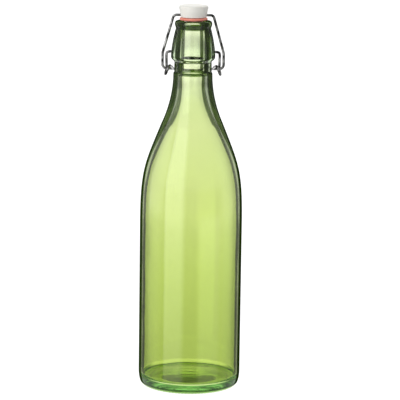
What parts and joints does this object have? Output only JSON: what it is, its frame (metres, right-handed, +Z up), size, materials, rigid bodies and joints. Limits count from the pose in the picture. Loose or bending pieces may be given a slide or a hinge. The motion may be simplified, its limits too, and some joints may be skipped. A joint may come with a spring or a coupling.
{
  "type": "swing top bottle",
  "caption": "Tall round green glass bottle with a sloping shoulder and a swing top: a stopper with a rubber ring on a wire bail, worked by a wire lever pivoted in the neck.",
  "frame": {"origin": "centre of the circle the bottle stands on", "axes": "+Z up along the bottle's axis; +X along the lever's pivot; the lever's thumb loop is at the back, at +Y"},
  "size_m": [0.0826, 0.0826, 0.311],
  "materials": {
    "green_glass": "clear yellow-green pressed glass",
    "white_stopper": "smooth white",
    "red_rubber": "satin orange-red rubber",
    "steel_wire": "bright drawn steel wire"
  },
  "bodies": {
    "glass_bottle": {"bottle": "green_glass"},
    "lever": {"lever_wire": "steel_wire"},
    "bail": {"bail_wire": "steel_wire"},
    "closure": {"stopper": "white_stopper", "gasket": "red_rubber"}
  },
  "joints": [
    {"name": "lever_hinge", "type": "hinge", "parent": "glass_bottle", "child": "lever", "pos_m": [0, 0, 0.273], "axis": [1, 0, 0], "range_deg": [0, 180]},
    {"name": "bail_hinge", "type": "hinge", "parent": "lever", "child": "bail", "pos_m": [0, 0, 0.25935], "axis": [1, 0, 0], "range_deg": [-123.2, 0]},
    {"name": "stopper_tilt", "type": "hinge", "parent": "bail", "child": "closure", "pos_m": [0, 0, 0.3025], "axis": [1, 0, 0], "range_deg": [-57.2, 0]}
  ],
  "couplings": [
    {"joint": "bail_hinge", "follows": "lever_hinge", "ratio": -0.6837},
    {"joint": "stopper_tilt", "follows": "lever_hinge", "ratio": -0.3163}
  ]
}
